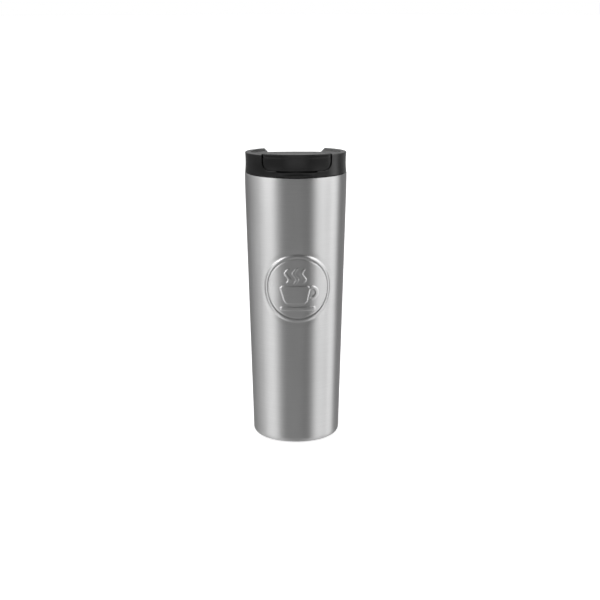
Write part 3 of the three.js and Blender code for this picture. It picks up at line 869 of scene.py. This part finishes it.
# ---------------------------------------------------------------- materials
def new_material(name, colour, metallic, roughness):
    material = bpy.data.materials.new(name)
    material.use_nodes = True
    shader = material.node_tree.nodes["Principled BSDF"]
    shader.inputs["Base Color"].default_value = (*colour, 1)
    shader.inputs["Metallic"].default_value = metallic
    shader.inputs["Roughness"].default_value = roughness
    return material, material.node_tree.nodes, material.node_tree.links, shader


def noise(nodes, links, scale, detail=3, stretch=(1, 1, 1)):
    """Noise in object space. scale is in cells per metre, and stretch squeezes it along an axis."""
    where = nodes.new("ShaderNodeTexCoord")
    mapping = nodes.new("ShaderNodeMapping")
    mapping.inputs["Scale"].default_value = stretch
    texture = nodes.new("ShaderNodeTexNoise")
    texture.inputs["Scale"].default_value = scale
    texture.inputs["Detail"].default_value = detail
    links.new(where.outputs["Object"], mapping.inputs["Vector"])
    links.new(mapping.outputs["Vector"], texture.inputs["Vector"])
    return texture.outputs["Fac"]


def ranged(nodes, links, source, low, high):
    """The middle half of a noise's range, spread from low to high."""
    node = nodes.new("ShaderNodeMapRange")
    node.inputs["From Min"].default_value = 0.25
    node.inputs["From Max"].default_value = 0.75
    node.inputs["To Min"].default_value = low
    node.inputs["To Max"].default_value = high
    links.new(source, node.inputs["Value"])
    return node.outputs["Result"]


def bump(nodes, links, shader, height, distance):
    """Fine relief from a noise, distance metres deep."""
    node = nodes.new("ShaderNodeBump")
    node.inputs["Distance"].default_value = distance
    node.inputs["Strength"].default_value = 1.0
    links.new(height, node.inputs["Height"])
    links.new(node.outputs["Normal"], shader.inputs["Normal"])


def tint(nodes, links, shader, source, dark, light):
    """Base colour between dark and light, by source."""
    mix = nodes.new("ShaderNodeMix")
    mix.data_type = "RGBA"
    mix.inputs["A"].default_value = (*dark, 1)
    mix.inputs["B"].default_value = (*light, 1)
    links.new(source, mix.inputs["Factor"])
    links.new(mix.outputs["Result"], shader.inputs["Base Color"])


def brushed_steel(name, grey, roughness, anisotropy):
    """Steel with fine brushing round the axis, which spreads its reflections up and down."""
    material, nodes, links, shader = new_material(name, (grey,) * 3, 1.0, roughness)
    shader.inputs["Anisotropic"].default_value = anisotropy
    shader.inputs["Anisotropic Rotation"].default_value = 0.25
    tangent = nodes.new("ShaderNodeTangent")
    tangent.direction_type = "RADIAL"
    tangent.axis = "Z"
    links.new(tangent.outputs["Tangent"], shader.inputs["Tangent"])
    streaks = noise(nodes, links, 60, 4, (1, 1, 70))
    clouds = noise(nodes, links, 45, 2, (1, 1, 0.6))
    tint(nodes, links, shader, ranged(nodes, links, streaks, 0, 1), (grey * 0.95,) * 3, (grey * 1.04,) * 3)
    links.new(ranged(nodes, links, clouds, roughness - 0.025, roughness + 0.035), shader.inputs["Roughness"])
    bump(nodes, links, shader, streaks, 0.000012)
    return material


def polished_steel(name, grey, roughness):
    """Smooth steel with a faint orange peel and smudges."""
    material, nodes, links, shader = new_material(name, (grey,) * 3, 1.0, roughness)
    orange_peel = noise(nodes, links, 900, 2)
    smudges = noise(nodes, links, 60)
    links.new(ranged(nodes, links, smudges, roughness - 0.04, roughness + 0.06), shader.inputs["Roughness"])
    tint(nodes, links, shader, smudges, (grey * 0.94,) * 3, (grey * 1.03,) * 3)
    bump(nodes, links, shader, orange_peel, 0.00002)
    return material


def moulded_plastic(name, grey, roughness):
    """Black plastic with the fine spark-eroded grain of a mould."""
    material, nodes, links, shader = new_material(name, (grey,) * 3, 0.0, roughness)
    shader.inputs["Specular IOR Level"].default_value = 0.5
    fine = noise(nodes, links, 2600)
    cloud = noise(nodes, links, 90)
    links.new(ranged(nodes, links, cloud, roughness - 0.04, roughness + 0.05), shader.inputs["Roughness"])
    tint(nodes, links, shader, cloud, (grey * 0.9,) * 3, (grey * 1.12,) * 3)
    bump(nodes, links, shader, fine, 0.000018)
    return material


def soft_rubber(name, grey):
    """Dull rubber with a little dust."""
    material, nodes, links, shader = new_material(name, (grey,) * 3, 0.0, 0.68)
    shader.inputs["Specular IOR Level"].default_value = 0.4
    skin = noise(nodes, links, 1500, 4)
    dust = noise(nodes, links, 240, 4)
    links.new(ranged(nodes, links, dust, 0.6, 0.78), shader.inputs["Roughness"])
    tint(nodes, links, shader, ranged(nodes, links, dust, 0, 1), (grey * 0.85,) * 3, (grey * 1.35,) * 3)
    bump(nodes, links, shader, skin, 0.00003)
    return material


def crinkled_foil(name):
    material, nodes, links, shader = new_material(name, (0.8, 0.8, 0.81), 1.0, 0.25)
    creases = noise(nodes, links, 260, 5)
    links.new(ranged(nodes, links, creases, 0.18, 0.34), shader.inputs["Roughness"])
    tint(nodes, links, shader, creases, (0.72, 0.72, 0.74), (0.86, 0.86, 0.86))
    bump(nodes, links, shader, creases, 0.0003)
    return material


def fused_glass(name):
    material, nodes, links, shader = new_material(name, (0.1, 0.11, 0.12), 0.0, 0.2)
    flow = noise(nodes, links, 700)
    links.new(ranged(nodes, links, flow, 0.12, 0.3), shader.inputs["Roughness"])
    tint(nodes, links, shader, flow, (0.07, 0.08, 0.09), (0.15, 0.16, 0.17))
    bump(nodes, links, shader, flow, 0.00008)
    return material


def sintered_metal(name):
    material, nodes, links, shader = new_material(name, (0.2, 0.19, 0.18), 0.6, 0.8)
    grains = noise(nodes, links, 3000, 4)
    links.new(ranged(nodes, links, grains, 0.7, 0.9), shader.inputs["Roughness"])
    tint(nodes, links, shader, grains, (0.12, 0.115, 0.11), (0.28, 0.27, 0.26))
    bump(nodes, links, shader, grains, 0.00006)
    return material


def dress_node(node, material):
    """Gives a CAD node that stays its finish."""
    mesh = frame["nodes"][node].data
    mesh.materials.clear()
    mesh.materials.append(material)


# ---------------------------------------------------------------- studio
def make_camera():
    """A long lens in front of the mug and a little to its left, looking down on it."""
    distance = 0.9679
    height = 0.3285
    side = math.radians(-1.6)
    pitch = 13.298
    roll = -0.1
    data = bpy.data.cameras.new("camera")
    data.sensor_width = 36
    data.lens = 81.31
    data.shift_x = 0.0068
    data.clip_start = 0.05
    data.clip_end = 60
    camera = bpy.data.objects.new("camera", data)
    camera.location = (distance * math.sin(side), -distance * math.cos(side), height)
    aim = Matrix.Rotation(side, 3, "Z") @ Matrix.Rotation(math.radians(90 - pitch), 3, "X")
    camera.rotation_euler = (aim @ Matrix.Rotation(math.radians(roll), 3, "Z")).to_euler()
    bpy.context.scene.collection.objects.link(camera)
    bpy.context.scene.camera = camera


def make_floor():
    """A wide pale floor."""
    radius = 12
    mesh = bpy.data.meshes.new("floor")
    turns = [math.radians(a) for a in range(0, 360, 5)]
    points = [(radius * math.cos(a), radius * math.sin(a), 0) for a in turns]
    mesh.from_pydata(points, [], [list(range(len(points)))])
    floor = bpy.data.objects.new("floor", mesh)
    floor.location.z = -0.0001
    bpy.context.scene.collection.objects.link(floor)
    material, nodes, links, shader = new_material("floor", (0.65, 0.65, 0.65), 0.0, 0.9)
    shader.inputs["Specular IOR Level"].default_value = 0.1
    shader.inputs["Emission Color"].default_value = (1, 1, 1, 1)
    shader.inputs["Emission Strength"].default_value = 0.62
    tint(nodes, links, shader, noise(nodes, links, 8), (0.645, 0.645, 0.645), (0.655, 0.655, 0.655))
    mesh.materials.append(material)
    floor.visible_glossy = False


def math_node(nodes, links, operation, first, second):
    """A Math node. Each input is a number or a socket."""
    node = nodes.new("ShaderNodeMath")
    node.operation = operation
    for socket, value in zip(node.inputs, (first, second)):
        if isinstance(value, (int, float)):
            socket.default_value = value
        else:
            links.new(value, socket)
    return node.outputs[0]


def fade(nodes, links, source, start, end):
    """0 where source is at start, 1 where it is at end, and an S-curve between them."""
    node = nodes.new("ShaderNodeMapRange")
    node.interpolation_type = "SMOOTHSTEP"
    node.inputs["From Min"].default_value = start
    node.inputs["From Max"].default_value = end
    links.new(source, node.inputs["Value"])
    return node.outputs["Result"]


def blended(nodes, links, share, first, second):
    """first where share is 0, second where it is 1."""
    node = nodes.new("ShaderNodeMix")
    links.new(share, node.inputs["Factor"])
    for name, value in (("A", first), ("B", second)):
        if isinstance(value, (int, float)):
            node.inputs[name].default_value = value
        else:
            links.new(value, node.inputs[name])
    return node.outputs["Result"]


def round_the_mug(nodes, links, share, stops):
    """Brightness by direction round the mug, from stops of degrees and level."""
    top = max(level for _, level in stops)
    ramp = nodes.new("ShaderNodeValToRGB")
    elements = ramp.color_ramp.elements
    elements.remove(elements[1])
    for i, (degrees, level) in enumerate(stops):
        place = (degrees + 180) / 360
        stop = elements[0] if i == 0 else elements.new(place)
        stop.position = place
        stop.color = (level / top,) * 3 + (1,)
    links.new(share, ramp.inputs["Fac"])
    return math_node(nodes, links, "MULTIPLY", ramp.outputs["Color"], top)


# Brightness of the studio by direction round the mug: degrees from the front, positive to its right, and
# level. From 9 to 45 degrees above the floor stand two tall soft boxes, one on each side.
SOFT_BOXES = [
    (-180, 0.5), (-144, 0.8), (-121, 1.05), (-104, 1.8), (-92, 2.8), (-80, 3.6), (-68, 3.6), (-58, 2.7),
    (-48, 0.9), (-38, 0.4), (-27, 0.2), (-15, 0.03), (28, 0.03), (38, 0.15), (47, 1.15), (57, 2.6),
    (68, 3.1), (80, 2.9), (92, 2.3), (108, 2.0), (124, 0.42), (148, 0.25), (180, 0.5),
]
# Near the horizon the studio is dim, apart from a narrow panel on the right.
HORIZON = [
    (-180, 0.3), (-146, 0.12), (-121, 0.12), (-100, 0.08), (-60, 0.08), (-36, 0.14), (-10, 0.12), (12, 0.12),
    (36, 0.14), (56, 0.22), (80, 0.2), (90, 1.2), (102, 1.3), (110, 0.4), (118, 0.1), (146, 0.3), (180, 0.3),
]
LOW_PANEL_TOP = 1.5  # the boxes' lower third is no brighter than this, so that the lid's top keeps its shape
HIGH_PANEL_GAIN = 1.5
ZENITH = 0.25
TABLE_SHARE = 0.2  # the table mirrors this much of the boxes, over a level of its own
TABLE_LEVEL = 0.4
FRONT_CARD = 0.56
REAR_WALL = (0.34, 1.5)  # at its foot and higher up
BACKDROP = 1.0
# Where one light gives way to the next: (start, end) of the upward (z) or rearward (y) part of a direction.
PANEL_FOOT = (0.03, 0.16)
PANEL_WAIST = (0.3, 0.45)
PANEL_TOP = (0.7, 0.85)
TABLE_EDGE = (-0.2, -0.5)
CARD_LOW, CARD_HIGH, CARD_SIDES = (-0.5, -0.35), (0.08, -0.06), (-0.86, -0.98)
WALL_LOW, WALL_RISE, WALL_SIDES = (-0.02, 0.12), (0.22, 0.4), (0.84, 0.93)


def make_studio():
    """Soft light by direction: z runs from -1 straight down to 1 straight up, and -Y is the front."""
    world = bpy.data.worlds.new("studio")
    bpy.context.scene.world = world
    world.use_nodes = True
    nodes, links = world.node_tree.nodes, world.node_tree.links
    where = nodes.new("ShaderNodeTexCoord")
    parts = nodes.new("ShaderNodeSeparateXYZ")
    links.new(where.outputs["Generated"], parts.inputs["Vector"])
    x, y, z = (parts.outputs[name] for name in "XYZ")
    front = math_node(nodes, links, "MULTIPLY", y, -1)
    azimuth = math_node(nodes, links, "ARCTAN2", x, front)
    turn = math_node(nodes, links, "DIVIDE", azimuth, 2 * math.pi)
    share = math_node(nodes, links, "ADD", turn, 0.5)
    boxes = round_the_mug(nodes, links, share, SOFT_BOXES)
    horizon = round_the_mug(nodes, links, share, HORIZON)
    table = math_node(nodes, links, "MULTIPLY_ADD", boxes, TABLE_SHARE)
    table.node.inputs[2].default_value = TABLE_LEVEL
    low = math_node(nodes, links, "MINIMUM", boxes, LOW_PANEL_TOP)
    high = math_node(nodes, links, "MULTIPLY", boxes, HIGH_PANEL_GAIN)
    panels = blended(nodes, links, fade(nodes, links, z, *PANEL_WAIST), low, high)
    light = blended(nodes, links, fade(nodes, links, z, *PANEL_FOOT), horizon, panels)
    light = blended(nodes, links, fade(nodes, links, z, *PANEL_TOP), light, ZENITH)
    light = blended(nodes, links, fade(nodes, links, z, *TABLE_EDGE), light, table)
    # A card in front of the mug, below eye level.
    over_table = fade(nodes, links, z, *CARD_LOW)
    under_eye = fade(nodes, links, z, *CARD_HIGH)
    level = math_node(nodes, links, "MULTIPLY", over_table, under_eye)
    ahead = math_node(nodes, links, "MULTIPLY", level, fade(nodes, links, y, *CARD_SIDES))
    light = blended(nodes, links, ahead, light, FRONT_CARD)
    # A wall behind the mug, which lights the tops of the lid's edges.
    wall = blended(nodes, links, fade(nodes, links, z, *WALL_RISE), *REAR_WALL)
    above = fade(nodes, links, z, *WALL_LOW)
    behind = math_node(nodes, links, "MULTIPLY", fade(nodes, links, y, *WALL_SIDES), above)
    light = blended(nodes, links, behind, light, wall)
    path = nodes.new("ShaderNodeLightPath")
    light = blended(nodes, links, path.outputs["Is Camera Ray"], light, BACKDROP)
    links.new(light, nodes["Background"].inputs["Color"])


def main():
    scene = bpy.context.scene
    scene.view_settings.view_transform = "Standard"
    make_camera()
    make_studio()
    make_floor()
    shell_steel = brushed_steel("brushed_shell_steel", 0.62, 0.4, 0.93)
    liner_steel = polished_steel("electropolished_steel", 0.68, 0.22)
    lid_plastic = moulded_plastic("lid_plastic", 0.011, 0.22)
    lever_plastic = moulded_plastic("lever_plastic", 0.01, 0.22)
    silicone = soft_rubber("silicone", 0.02)
    make_shell(shell_steel)
    make_liner(liner_steel)
    make_base_plate(liner_steel)
    make_base_cover(shell_steel)
    make_collar(lid_plastic)
    make_lid_base(lid_plastic)
    make_insert(lid_plastic)
    make_gasket(silicone)
    make_pin(liner_steel)
    make_lever(lever_plastic)
    make_sip_stopper(silicone)
    make_vent_stopper(silicone)
    dress_node("radiation_foil", crinkled_foil("foil"))
    dress_node("seal_bead", fused_glass("seal_glass"))
    dress_node("getter", sintered_metal("getter_metal"))
    dress_node("getter_strap", liner_steel)


main()

bpy.context.view_layer.update()
